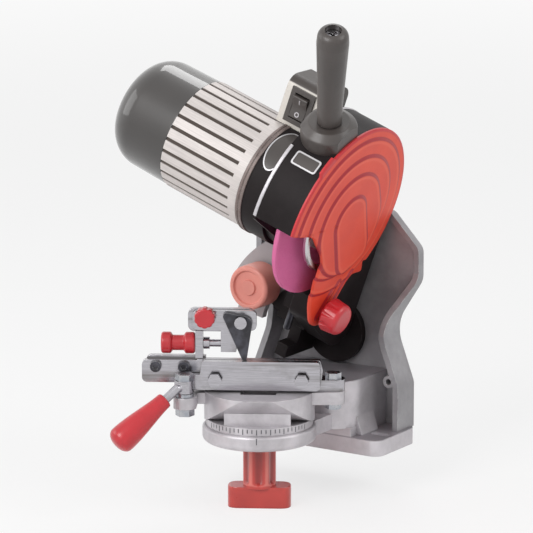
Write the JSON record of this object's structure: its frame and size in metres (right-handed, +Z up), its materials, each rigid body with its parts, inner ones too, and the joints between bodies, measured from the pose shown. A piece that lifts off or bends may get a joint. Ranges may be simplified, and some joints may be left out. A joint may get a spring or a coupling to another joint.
{
  "type": "electric chainsaw sharpener",
  "caption": "Bench chain grinder with a tilting, lowering motor head, thin grinding wheel in a guard, and a turning chain vise with cam clamp and chain stop.",
  "frame": {"origin": "on the underside of the base flange, midway between the two bench slots", "axes": "+X to the operator's right, -Y towards the operator and the chain vise, +Z up"},
  "size_m": [0.2516, 0.2375, 0.3978],
  "materials": {
    "cast_aluminium": "cast, satin",
    "column_grey": "satin paint",
    "bright_steel": "bright",
    "zinc_screws": "zinc plated",
    "spring_steel": "oiled",
    "scale_plate": "satin plate",
    "black_cast": "satin black",
    "wing_grey": "satin grey",
    "red_cover": "satin red",
    "red_knob": "gloss red",
    "dark_red_knob": "gloss dark red",
    "salmon_knob": "matt light red",
    "dark_plastic": "matt dark",
    "grey_box": "satin grey",
    "motor_aluminium": "bright",
    "end_cap_black": "gloss black",
    "laminated_steel": "bare laminations",
    "bronze": "sintered bronze",
    "flange_steel": "turned",
    "dark_steel": "blackened",
    "abrasive": "rough pink abrasive",
    "blotter_paper": "paper"
  },
  "bodies": {
    "base": {"base_casting": "cast_aluminium", "column_casting": "column_grey", "column_screws": "zinc_screws", "tilt_scale_plate": "scale_plate", "tilt_lock_stud": "bright_steel"},
    "tilt_lock": {"tilt_lock_knob": "salmon_knob"},
    "vise_lock": {"vise_lock_knob": "dark_red_knob"},
    "turntable": {"turntable": "cast_aluminium", "vise_lock_stud": "bright_steel"},
    "vise": {"vise_cradle": "cast_aluminium", "rear_jaw": "bright_steel", "vise_screws": "dark_steel", "guide_pins": "bright_steel", "jaw_springs": "spring_steel", "vise_bolts": "zinc_screws", "stop_bracket": "bright_steel"},
    "front_jaw": {"front_jaw": "bright_steel"},
    "clamp_lever": {"clamp_lever": "bright_steel", "lever_grip": "red_knob"},
    "stop_adjuster": {"stop_adjust_screw": "bright_steel", "stop_adjust_knob": "red_knob"},
    "stop_slide": {"stop_slide": "bright_steel", "pawl_pin": "bright_steel", "pawl_spring": "spring_steel"},
    "pawl": {"stop_pawl": "dark_steel"},
    "stop_lock": {"stop_lock_knob": "red_knob"},
    "tilt_bracket": {"tilt_bracket": "black_cast", "tilt_pivot_bolt": "zinc_screws", "swing_bushes": "bronze", "return_spring": "spring_steel"},
    "depth_stop": {"depth_stop_screw": "dark_steel"},
    "head": {"head_arm": "black_cast", "swing_pin": "bright_steel", "wheel_guard": "black_cast", "wheel_cover": "red_cover", "cover_stud": "bright_steel", "handle_collar": "dark_plastic", "handle_grip": "dark_plastic", "handle_rod": "bright_steel", "motor_flange": "black_cast", "motor_housing": "motor_aluminium", "motor_end_cap": "end_cap_black", "rear_bell": "wing_grey", "stator": "laminated_steel", "head_screws": "zinc_screws", "bearings": "bright_steel", "switch_box": "grey_box", "switch_bezel": "dark_plastic", "cord_gland": "dark_plastic"},
    "cover_knob": {"cover_knob": "red_knob"},
    "switch": {"switch_rocker": "dark_plastic"},
    "rotor": {"rotor_shaft": "bright_steel", "rotor_core": "laminated_steel", "cooling_fan": "dark_plastic", "inner_flange": "flange_steel", "outer_flange": "flange_steel", "wheel_nut": "zinc_screws", "grinding_wheel": "abrasive", "blotters": "blotter_paper"}
  },
  "joints": [
    {"name": "head_tilt", "type": "hinge", "parent": "base", "child": "tilt_bracket", "pos_m": [0, 0, 0.085], "axis": [0, 1, 0], "range_deg": [-20, 15]},
    {"name": "head_swing", "type": "hinge", "parent": "tilt_bracket", "child": "head", "pos_m": [0.0041, 0.011, 0.09628], "axis": [0.9397, 0, -0.342], "range_deg": [0, 31], "stiffness_Nm_per_rad": 6, "springref_deg": -34.38},
    {"name": "wheel_spin", "type": "hinge", "parent": "head", "child": "rotor", "pos_m": [0.04292, -0.048, 0.20293], "axis": [0.9397, 0, -0.342], "continuous": true},
    {"name": "cover_knob_turn", "type": "hinge", "parent": "head", "child": "cover_knob", "pos_m": [0.01324, -0.0332, 0.12137], "axis": [0.9397, 0, -0.342], "continuous": true},
    {"name": "switch_press", "type": "hinge", "parent": "head", "child": "switch", "pos_m": [0.01817, -0.053, 0.28111], "axis": [0.9397, 0, -0.342], "range_deg": [-16, 0]},
    {"name": "depth_stop_turn", "type": "hinge", "parent": "head", "child": "depth_stop", "pos_m": [-0.01717, -0.018, 0.09338], "axis": [0.342, 0, 0.9397], "continuous": true},
    {"name": "tilt_lock_turn", "type": "hinge", "parent": "base", "child": "tilt_lock", "pos_m": [-0.0443, 0, 0.1257], "axis": [0, 1, 0], "continuous": true},
    {"name": "vise_turn", "type": "hinge", "parent": "base", "child": "turntable", "pos_m": [0, -0.084, 0], "axis": [0, 0, 1], "range_deg": [-60, 0]},
    {"name": "vise_tilt", "type": "hinge", "parent": "turntable", "child": "vise", "pos_m": [0, -0.084, 0.085], "axis": [0.866, 0.5, 0], "range_deg": [-10, 10]},
    {"name": "vise_lock_turn", "type": "hinge", "parent": "base", "child": "vise_lock", "pos_m": [0, -0.084, 0], "axis": [0, 0, 1], "continuous": true},
    {"name": "clamp_lever_turn", "type": "hinge", "parent": "vise", "child": "clamp_lever", "pos_m": [-0.03731, -0.13337, 0.062], "axis": [0, 0, 1], "range_deg": [0, 70]},
    {"name": "front_jaw_slide", "type": "slide", "parent": "vise", "child": "front_jaw", "axis": [-0.5, 0.866, 0], "range_m": [-0.0016, 0]},
    {"name": "stop_adjust_turn", "type": "hinge", "parent": "vise", "child": "stop_adjuster", "pos_m": [0.0005, -0.08487, 0.0967], "axis": [0.866, 0.5, 0], "range_deg": [-1351, 1351]},
    {"name": "stop_slide_travel", "type": "slide", "parent": "vise", "child": "stop_slide", "axis": [0.866, 0.5, 0], "range_m": [-0.003, 0.003]},
    {"name": "pawl_flip", "type": "hinge", "parent": "stop_slide", "child": "pawl", "pos_m": [-0.00892, -0.09654, 0.116], "axis": [0.5, -0.866, 0], "range_deg": [-50, 0], "stiffness_Nm_per_rad": 0.004, "springref_deg": 17.19},
    {"name": "stop_lock_turn", "type": "hinge", "parent": "vise", "child": "stop_lock", "pos_m": [-0.03287, -0.11106, 0.1197], "axis": [-0.5, 0.866, 0], "continuous": true}
  ],
  "couplings": [
    {"joint": "front_jaw_slide", "follows": "clamp_lever_turn", "m_per_rad": -0.0013096},
    {"joint": "stop_adjust_turn", "follows": "stop_slide_travel", "rad_per_m": 7854}
  ]
}
